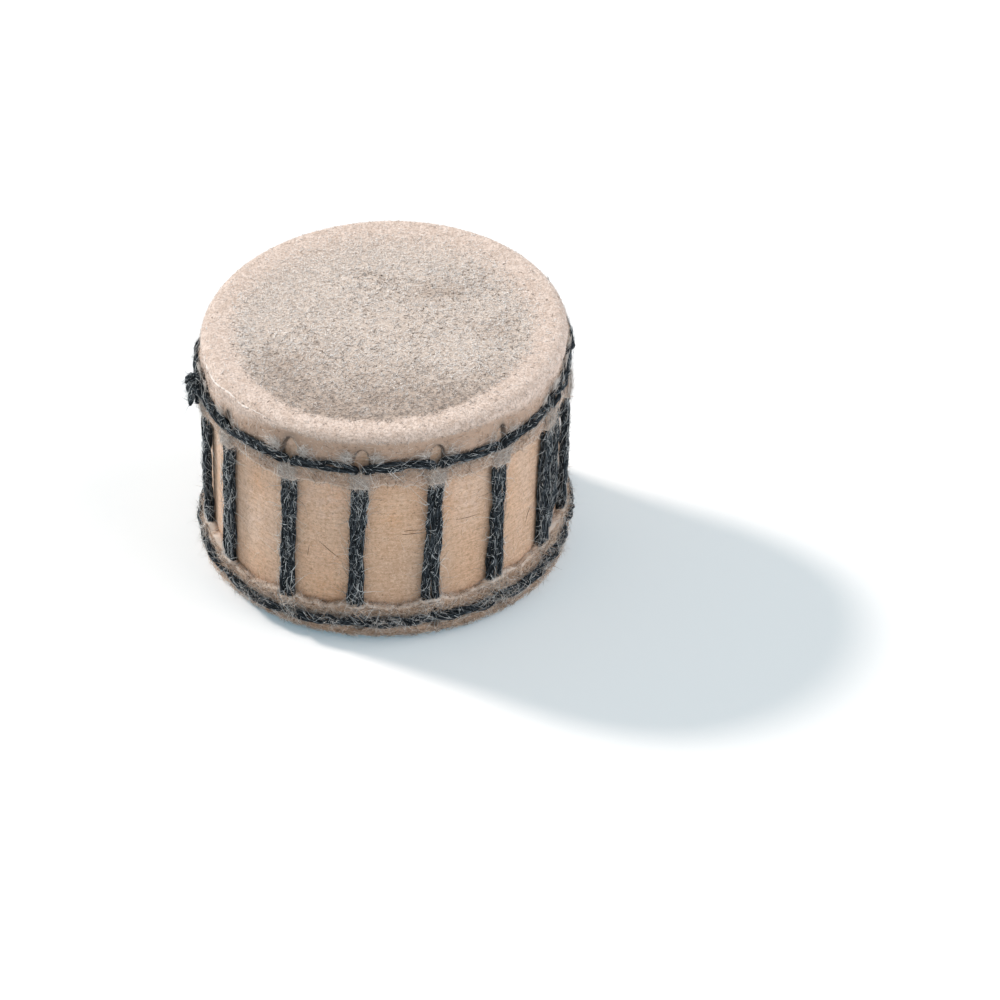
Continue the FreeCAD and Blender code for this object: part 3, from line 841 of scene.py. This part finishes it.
def yarn_route():
    """The yarn's whole way: twice round the drum as a square wave."""
    low_out = bottom_ring_radius - strand_radius
    route = [strand_point(0, 1.1 * strand_pitch, 1.1, top_ring_z + 0.4),
             strand_point(0, notch_reach, top_ring_radius - strand_radius, top_ring_z)]
    for leg in range(1, 2 * station_count + 1):
        station = leg % station_count
        if leg % 2:
            path = upright(station, -1) + crossing(station, over_route)
            path.append(strand_point(station, 2.2 * strand_pitch, low_out, bottom_ring_z))
        else:
            path = upright(station, 1) + crossing(station, under_route)
            path.append(strand_point(station, -2.4 * strand_pitch, low_out, bottom_ring_z))
            path = path[::-1]
        if leg == 2 * station_count:
            path = path[:-3] + [strand_point(0, 0.4 * strand_pitch, 0.9, top_ring_z + 0.2)]
        start, end = route[-1], path[0]
        first = math.degrees(math.atan2(start[1], start[0]))
        sweep = (math.degrees(math.atan2(end[1], end[0])) - first) % 360
        radius = np.hypot(start[0], start[1])
        for i in range(1, 5):
            droop = 0.22 * math.sin(math.pi * i / 5) * math.sin(leg * 2.3)
            route.append(polar(radius, first + sweep * i / 5, start[2] + droop))
        route += path
    return np.array(route)


def even_steps(points, step):
    """The same line with points a step apart."""
    walked = np.concatenate([[0], np.cumsum(np.linalg.norm(np.diff(points, axis=0), axis=1))])
    at = np.linspace(0, walked[-1], round(walked[-1] / step) + 1)
    return np.stack([np.interp(at, walked, points[:, k]) for k in range(3)], 1)


def relax(points, times):
    for _ in range(times):
        points = points.copy()
        points[1:-1] = (points[:-2] + 2 * points[1:-1] + points[2:]) / 4
    return points


def cord_frame(line):
    """Direction of the line, outward from the drum, and across, at each point."""
    run = unit(np.gradient(line, axis=0))
    out = line * (1, 1, 0)
    out = unit(out - run * (out * run).sum(1, keepdims=True))
    return run, out, np.cross(run, out)


def wander_of(count, reach, rng):
    """Smooth noise along a line of count points, of about unit size."""
    raw = rng.normal(size=count + 8 * reach)
    kernel = np.hanning(2 * reach + 1)
    calm = np.convolve(raw, kernel / np.sqrt((kernel ** 2).sum()), "same")
    return calm[4 * reach:4 * reach + count]


yarn_step = 0.4
ply_sides = 6
ply_girth = 2.6


def ply_maps(count, steps, run_step, shift):
    """Maps for the wool's noise: round each ply and along it. shift sets the plies apart."""
    turn = math.tau * np.arange(ply_sides) / ply_sides
    ones = np.ones((count, steps, ply_sides))
    return {"ply_x": ones * ply_girth * np.cos(turn) + shift * np.arange(count)[:, None, None],
            "ply_y": ones * ply_girth * np.sin(turn),
            "ply_run": ones * run_step * np.arange(steps)[:, None]}


def plies(name, line, count, spread, thick, pitch, seed):
    """Plies of wool that wind round a line. spread, thick and pitch are given at each point."""
    rng = np.random.default_rng(seed)
    _, out, across = cord_frame(line)
    wound = np.cumsum(yarn_step / pitch)
    lines, radii = [], []
    for i in range(count):
        angle = math.tau * (i / count + wound) + 0.5 * wander_of(len(line), 14, rng)
        reach = spread * (1 + 0.16 * wander_of(len(line), 9, rng))
        offset = out * (reach * np.cos(angle))[:, None] + across * (reach * np.sin(angle))[:, None]
        offset += 0.05 * np.stack([wander_of(len(line), 4, rng) for _ in range(3)], 1)
        lines.append(line + offset)
        radii.append(thick * (1 + 0.13 * wander_of(len(line), 6, rng)))
    maps = ply_maps(count, len(line), yarn_step / 2.2, 7.3)
    return tubes(name, np.array(lines), np.array(radii), wool, ply_sides, maps)


yarn_line = relax(even_steps(yarn_route(), yarn_step), 3)
yarn_run, yarn_out, yarn_across = cord_frame(yarn_line)
upright_share = smooth(np.abs(yarn_run[:, 2]), 0.35, 0.85)
yarn_spread = 0.66 - 0.10 * upright_share
yarn_thick = 0.42 + 0.01 * upright_share
yarn_pitch = 17.0 + 25.0 * upright_share
half = len(yarn_line) // 2
yarn_pieces = []
for i, (a, b) in enumerate(((0, half + 1), (half, len(yarn_line)))):
    yarn_pieces.append(plies(f"wool_yarn_{i + 1}", yarn_line[a:b], 5, yarn_spread[a:b],
                             yarn_thick[a:b], yarn_pitch[a:b], 60 + i))
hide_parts("lacing_yarn")


# Hair of the yarn

def yarn_surface(count, rng, inner=-0.15):
    """Random points on the yarn's outer side, with their outward and along directions."""
    at = rng.integers(2, len(yarn_line) - 2, count)
    swing = rng.uniform(-math.pi, math.pi, count)
    swing = np.where(np.cos(swing) < inner, swing * 0.4, swing)
    away = between(yarn_out[at], yarn_across[at], swing)
    reach = yarn_spread[at] + 0.75 * yarn_thick[at]
    return yarn_line[at] + away * reach[:, None], away, yarn_run[at]


def yarn_halo(name, count, seed, length, thick, material):
    rng = np.random.default_rng(seed)
    base, away, run = yarn_surface(count, rng)
    way = unit(between(1.3 * run, np.cross(away, run), rng.uniform(0, math.tau, count)))
    line = hair_lines(base, away, way, rng.uniform(*length, count), 0.35, rng, 3, 0.45)
    return hairs(name, line, thick, rng, material)


def tangled_hairs(name, count, seed, length, thick, material):
    """Long hairs caught in the yarn, curled over it and onto the tube beside it."""
    rng = np.random.default_rng(seed)
    base, away, run = yarn_surface(count, rng, 0.2)
    steps = 8
    t = np.linspace(0, 1, steps)[None, :]
    size = rng.gamma(3.0, (length[1] - length[0]) / 7, count) + length[0]
    heading = rng.normal(0, 0.8, (count, 1)) + np.where(rng.random((count, 1)) < 0.5, 0, math.pi)
    bend = rng.normal(0, 0.6, (count, 1)) * t + rng.normal(0, 0.5, (count, 1)) * t ** 2
    angle = heading + bend
    radius = np.hypot(base[:, 0], base[:, 1])
    turn = np.arctan2(base[:, 1], base[:, 0])
    step = size[:, None] / (steps - 1)
    up = np.cumsum(np.cos(angle) * step, 1)
    aside = np.cumsum(np.sin(angle) * step, 1)
    up, aside = up - up[:, :1], aside - aside[:, :1]
    flat_run = np.abs(run[:, 2:3]) < 0.5
    up, aside = np.where(flat_run, aside, up), np.where(flat_run, up, aside)
    floor = np.full((count, steps), tube_radius + 0.25)
    floor = np.maximum(floor, 39.3 * (base[:, 2:3] + up > 39.5))
    floor = np.maximum(floor, 39.7 * (base[:, 2:3] + up < 10.8))
    over = np.maximum(radius[:, None] + 0.12 - 0.55 * np.maximum(np.abs(aside) - 0.6, 0), floor)
    waves = rng.uniform(0.5, 2.0, (count, 1))
    over = over + 0.35 * np.abs(np.sin(math.pi * t * waves)) * rng.random((count, 1))
    line = polar(over, np.degrees(turn[:, None] + aside / 39), np.maximum(base[:, 2:3] + up, 0.4))
    return hairs(name, line, thick, rng, material)


yarn_pieces += [yarn_halo("yarn_halo_1", 7500, 541, (0.4, 1.2), (0.06, 0.09), dark_hair),
                yarn_halo("yarn_halo_2", 3400, 542, (0.5, 1.8), (0.06, 0.09), white_hair),
                tangled_hairs("tangled_hairs", 4200, 543, (1.6, 6.5), (0.055, 0.10), white_hair)]


def ring_fuzz():
    """Hair of the hides caught over the ring cords, in patches."""
    rng = np.random.default_rng(545)
    turn = np.degrees(np.arctan2(yarn_line[:, 1], yarn_line[:, 0]))
    patchy = (smooth(ripple(turn, 0, 546, 30, 10), -0.6, 1.2) + 0.05) * (yarn_line[:, 2] < 8)
    over_hole = smooth(-np.abs(turn - station_turn(4, top_ring_z)), -4.5, -3) * (yarn_line[:, 2] > 43)
    share = (patchy + 0.6 * over_hole) * (np.abs(yarn_run[:, 2]) < 0.5)
    at = rng.choice(len(share), 2000, p=share / share.sum())
    away = between(yarn_out[at], yarn_across[at], rng.uniform(-1.7, 1.7, len(at)))
    base = yarn_line[at] + away * (yarn_spread[at] + 0.6 * yarn_thick[at])[:, None]
    size = rng.uniform(0.7, 2.6, len(at))
    line = hair_lines(base, away, unit(rng.normal(size=base.shape)), size, 0.8, rng, 4, 0.4)
    line[..., 2] = np.maximum(line[..., 2], 0.1)
    return hairs("ring_fuzz", line, (0.06, 0.10), rng, tuft)


yarn_pieces.append(ring_fuzz())
make_fold()


def knot_lines():
    """Plies of the knot: a loop over the ring, and a frayed tail that hangs from it."""
    rng = np.random.default_rng(70)
    turn = station_turn(0, top_ring_z)

    def at(across, out, up):
        radius = top_ring_radius + out
        return polar(radius, turn + math.degrees(across / radius), top_ring_z + up)

    loop = [(2.2, 0.2, 0.1), (1.3, 0.9, 1.0), (0.4, 1.6, 1.9), (-0.5, 1.5, 1.8), (-1.1, 1.0, 0.6),
            (-0.7, 1.1, -0.5), (0.2, 1.7, -0.4), (0.9, 1.7, 0.6), (0.6, 1.4, 1.7), (-0.2, 1.0, 2.2)]
    tail = [(-0.2, 1.0, 3.1), (0.1, 2.0, 3.9), (-0.1, 2.6, 3.0), (-0.4, 2.5, 1.4),
            (-0.3, 2.2, -0.3), (-0.6, 1.9, -2.1), (-0.5, 1.7, -3.7)]
    lines = []
    for path, count in ((loop, 3), (tail, 5)):
        middle = relax(even_steps(np.array([at(*p) for p in path]), 0.35), 3)
        _, out, across = cord_frame(middle)
        along = np.arange(len(middle)) * 0.35
        for i in range(count):
            angle = math.tau * (i / count + along / 9.0)
            spread = 0.62 * (1 + 0.2 * wander_of(len(middle), 5, rng))
            if path is tail:
                spread = spread * (1 + 0.9 * smooth(along, 5, 9.5))
            keep = len(middle) - (int(rng.integers(0, 6)) if path is tail else 0)
            wide, deep = spread * np.cos(angle), spread * np.sin(angle)
            line = (middle + out * wide[:, None] + across * deep[:, None])[:keep]
            walked = np.linalg.norm(np.diff(line, axis=0), axis=1).sum()
            lines.append(even_steps(line, walked / 27.5))
    return [line[:28] for line in lines]


def make_knot():
    lines = np.array(knot_lines())
    count, steps, _ = lines.shape
    rng = np.random.default_rng(71)
    radii = 0.45 * (1 + 0.12 * np.array([wander_of(steps, 4, rng) for _ in range(count)]))
    body = tubes("wool_knot", lines, radii, wool, ply_sides, ply_maps(count, steps, 0.16, 5.1))
    rng = np.random.default_rng(72)
    base = lines.reshape(-1, 3)[rng.integers(0, count * steps, 500)]
    away = unit(rng.normal(size=base.shape) + 0.6 * unit(base * (1, 1, 0)))
    way = unit(rng.normal(size=base.shape))
    size = rng.uniform(0.5, 1.8, len(base))
    line = hair_lines(base + 0.3 * away, away, way, size, 0.8, rng, 3, 0.4)
    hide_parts("lacing_knot")
    return [body, hairs("knot_hairs", line, (0.08, 0.12), rng, white_hair)]


yarn_pieces += make_knot()


def stray_ply():
    """Thin plies that have come away beside a right-hand upright, with their hairs."""
    rng = np.random.default_rng(80)
    count, steps = 4, 80
    z = np.linspace(40.5, 9.5, steps)
    lean_out = station_turn(6, z) + 5.6 + 4.6 * smooth(z, 10, 18)
    lines = []
    for i in range(count):
        across = (0.8 * (i - 1.5) * smooth(z, 9, 15) + 0.35 * wander_of(steps, 9, rng)
                  + 0.16 * wander_of(steps, 3, rng)) * smooth(z, 9, 13)
        lines.append(polar(tube_radius + 0.4 + 0.08 * i, lean_out + np.degrees(across / 39), z))
    lines = np.array(lines)
    thick = 0.34 * (1 + 0.30 * np.array([wander_of(steps, 4, rng) for _ in range(count)]))
    body = tubes("stray_ply", lines, np.clip(thick, 0.12, 0.5), wool, ply_sides,
                 ply_maps(count, steps, 0.2, 0))
    base = lines.reshape(-1, 3)[rng.integers(0, count * steps, 260)]
    out = unit(base * (1, 1, 0))
    way = unit(rng.normal(size=base.shape))
    way = unit(way - out * (way * out).sum(1, keepdims=True))
    size = rng.uniform(0.6, 2.4, len(base))
    line = hair_lines(base + 0.25 * out, out, way, size, 0.6, rng, 3, 0.25)
    return [body, hairs("stray_ply_hairs", line, (0.06, 0.09), rng, white_hair)]


yarn_pieces += stray_ply()


# Marks and stray hairs on the bamboo, as (front angle, height) pairs

scratches = (((-28.9, 27.8), (-25.0, 26.4)), ((-21.9, 24.3), (-15.0, 20.5)),
             ((5.3, 26.7), (12.3, 26.5)), ((5.9, 27.5), (11.7, 27.2)), ((23.0, 27.9), (31.7, 27.4)),
             ((-25.9, 19.5), (-25.1, 22.5)),
             ((52.0, 18.0), (54.5, 21.0)), ((-52.0, 24.0), (-47.0, 27.5)),
             ((100.0, 20.0), (110.0, 21.0)), ((150.0, 30.0), (157.0, 27.0)),
             ((205.0, 18.0), (214.0, 19.5)), ((248.0, 33.0), (251.0, 28.0)))


def make_scratches():
    rng = np.random.default_rng(90)
    t = np.linspace(0, 1, 9)
    lines, radii = [], []
    for (a, low), (b, high) in scratches:
        bow = rng.normal(0, 0.25)
        turn = a + (b - a) * t - 90
        # The marks stay at the height given where settle tilts the tube
        tilt = 0.5 * side_fall * np.cos(np.radians(turn))
        z = low + (high - low) * t + bow * np.sin(math.pi * t) + tilt
        lines.append(polar(tube_radius + 0.02, turn, z))
        radii.append(0.065 * np.sqrt(np.clip(np.sin(math.pi * (0.05 + 0.9 * t)), 0.05, 1)))
    return tubes("scratches", np.array(lines), np.array(radii), scratch, 4)


def stray_hairs():
    """Loose pale hairs that lie on the bamboo."""
    rng = np.random.default_rng(92)
    count, steps = 420, 8
    t = np.linspace(0, 1, steps)[None]
    z0, turn0 = rng.uniform(11, 39.5, (count, 1)), rng.uniform(0, 360, (count, 1))
    size = rng.uniform(0.8, 4.0, count)
    heading = rng.uniform(0, math.tau, (count, 1)) + rng.normal(0, 1.5, (count, 1)) * t
    step = size[:, None] / (steps - 1)
    z = np.clip(z0 + np.cumsum(np.cos(heading) * step, 1), 10.5, 40)
    turn = turn0 + np.degrees(np.cumsum(np.sin(heading) * step, 1) / 38)
    line = polar(tube_radius + 0.10 + 0.12 * np.sin(math.pi * t), turn, z)
    return hairs("stray_hairs", line, (0.035, 0.06), rng, down)


for made in (make_scratches(), stray_hairs()):
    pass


# Seeds: smooth and a little wrinkled, each in the place of its CAD solid

def make_seed(index):
    low, high = (np.array(p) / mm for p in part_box(f"rattle_seed_{index + 1:02d}"))
    middle, half_size = (low + high) / 2, (high - low) / 2
    rows, cols = 18, 28
    rise = np.linspace(-90, 90, rows)[:, None] * 0.995
    turn = np.arange(cols)[None] * 360 / cols
    shape = 1 + 0.03 * ripple(turn, rise / 9, 600 + index, 5, 12)
    girth = np.cos(np.radians(rise)) ** 0.8 * shape
    height = np.sin(np.radians(rise)) * np.ones_like(turn)
    unit_points = polar(girth, turn, height) * (0.97, 0.97, 0.99)
    points = middle + unit_points.reshape(-1, 3) * half_size
    faces = quads(rows, cols)
    first = np.stack([np.zeros(cols - 2, int), np.arange(2, cols), np.arange(1, cols - 1)], 1)
    last = first[:, [0, 2, 1]] + (rows - 1) * cols
    triangles = np.concatenate([faces[:, [0, 1, 2]], faces[:, [0, 2, 3]], first, last])
    made = piece(f"seed_{index + 1:02d}_round", points, triangles, seed_skin,
                 body=f"seed_{index + 1:02d}", settled=False)
    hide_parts(f"rattle_seed_{index + 1:02d}")


seed_count = 18
for index in range(seed_count):
    make_seed(index)


# Floor, lights and camera

def seen_outright(tree):
    """1 for rays of the camera, gloss and glass, and 0 for those that only carry light."""
    path = node(tree, "ShaderNodeLightPath").outputs
    through = maths(tree, "MAXIMUM", path["Is Glossy Ray"], path["Is Transmission Ray"])
    return maths(tree, "MAXIMUM", path["Is Camera Ray"], through)


def make_floor():
    bpy.ops.mesh.primitive_plane_add(size=8)
    floor = bpy.context.object
    floor.name = "floor"
    made, tree, shader = material("pale_floor", roughness=1.0)
    tree.nodes.remove(shader)
    output = tree.nodes["Material Output"]
    bounce = node(tree, "ShaderNodeBsdfDiffuse", {"Color": (0.80, 0.80, 0.80, 1)}).outputs[0]
    seen = node(tree, "ShaderNodeBsdfDiffuse", {"Color": (0.98, 0.89, 0.84, 1)}).outputs[0]
    glow = node(tree, "ShaderNodeEmission", {"Color": (0.06, 0.165, 0.225, 1), "Strength": 1.0}).outputs[0]
    white = node(tree, "ShaderNodeAddShader", {0: seen, 1: glow}).outputs[0]
    shown = node(tree, "ShaderNodeMixShader", {0: seen_outright(tree), 1: bounce, 2: white}).outputs[0]
    tree.links.new(shown, output.inputs["Surface"])
    floor.data.materials.append(made)


def make_world():
    world = bpy.data.worlds.new("studio")
    bpy.context.scene.world = world
    world.use_nodes = True
    tree = world.node_tree
    light = tree.nodes["Background"]
    light.inputs["Color"].default_value = (0.94, 0.99, 1.0, 1)
    light.inputs["Strength"].default_value = 0.46
    white = node(tree, "ShaderNodeBackground", {"Color": (1, 1, 1, 1), "Strength": 1.0}).outputs[0]
    shown = node(tree, "ShaderNodeMixShader",
                 {0: seen_outright(tree), 1: light.outputs[0], 2: white}).outputs[0]
    tree.links.new(shown, tree.nodes["World Output"].inputs["Surface"])


def make_sun(name, energy, softness, colour, height, side):
    """Distant lamp of a given width in degrees, from a height and side in degrees."""
    data = bpy.data.lights.new(name, "SUN")
    data.energy = energy
    data.angle = math.radians(softness)
    data.color = colour
    lamp = bpy.data.objects.new(name, data)
    bpy.context.scene.collection.objects.link(lamp)
    height, side = math.radians(height), math.radians(side)
    level = math.cos(height)
    towards = Vector((level * math.cos(side), level * math.sin(side), math.sin(height)))
    lamp.rotation_euler = towards.to_track_quat("Z", "Y").to_euler()


def make_camera():
    data = bpy.data.cameras.new("camera")
    data.sensor_width = 36
    data.lens = 156.317
    data.clip_start = 0.05
    camera = bpy.data.objects.new("camera", data)
    bpy.context.scene.collection.objects.link(camera)
    height, roll = math.radians(35.6586), math.radians(-2.2043)
    back = Vector((0, -math.cos(height), math.sin(height)))
    right = Vector((1, 0, 0))
    up = back.cross(right)
    c, s = math.cos(roll), math.sin(roll)
    axes = Matrix((c * right + s * up, -s * right + c * up, back)).transposed().to_4x4()
    camera.matrix_world = Matrix.Translation(Vector((24.18, -770.389, 560.397)) * mm) @ axes
    bpy.context.scene.camera = camera


make_floor()
make_world()
make_sun("key", 2.7, 8.5, (1.0, 0.975, 0.95), 35.3, 147.1)
make_sun("fill", 1.25, 60, (0.99, 0.98, 1.0), 30, -18)
make_camera()
bpy.context.scene.view_settings.view_transform = "Standard"
